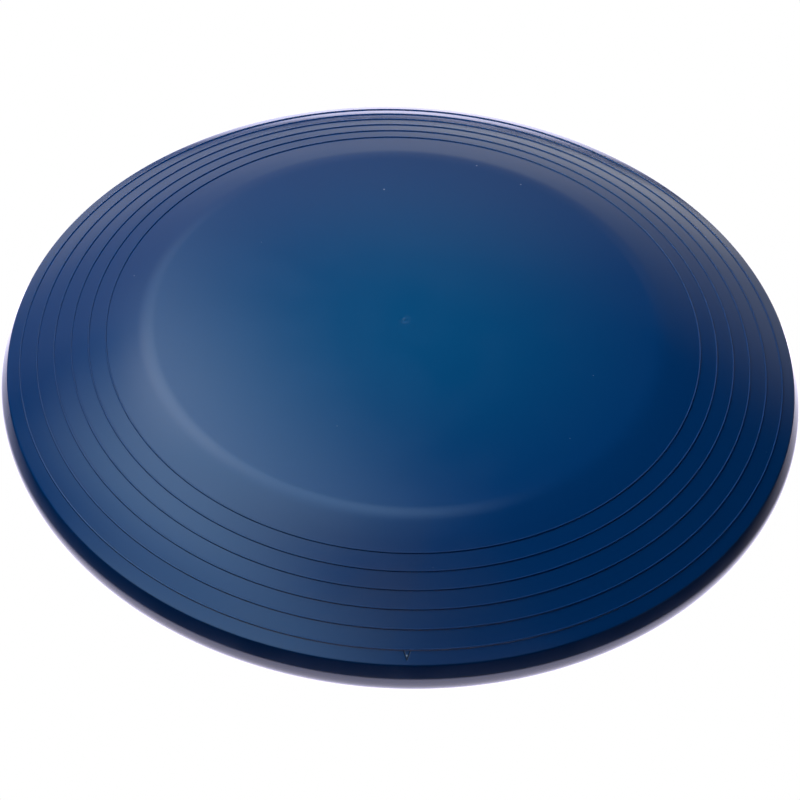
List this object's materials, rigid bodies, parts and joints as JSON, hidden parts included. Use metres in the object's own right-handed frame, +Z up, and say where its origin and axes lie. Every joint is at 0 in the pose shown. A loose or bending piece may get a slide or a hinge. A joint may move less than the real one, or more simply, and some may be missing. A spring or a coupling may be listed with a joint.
{
  "type": "flying disc",
  "caption": "Round flying disc for lawn games, a thin glossy moulded shell with concentric grip ribs on its shoulder and a rim curled under to hold.",
  "frame": {"origin": "middle of the base, on the surface that the disc rests on", "axes": "+Z up, square to the base and along the axis that the disc spins about, from the seat towards the flat centre"},
  "size_m": [0.23, 0.23, 0.0236],
  "materials": {
    "blue_moulded_plastic": "blue pigmented polyethylene or polypropylene, glossy from a polished mould"
  },
  "bodies": {
    "root": {"disc": "blue_moulded_plastic"}
  },
  "joints": []
}
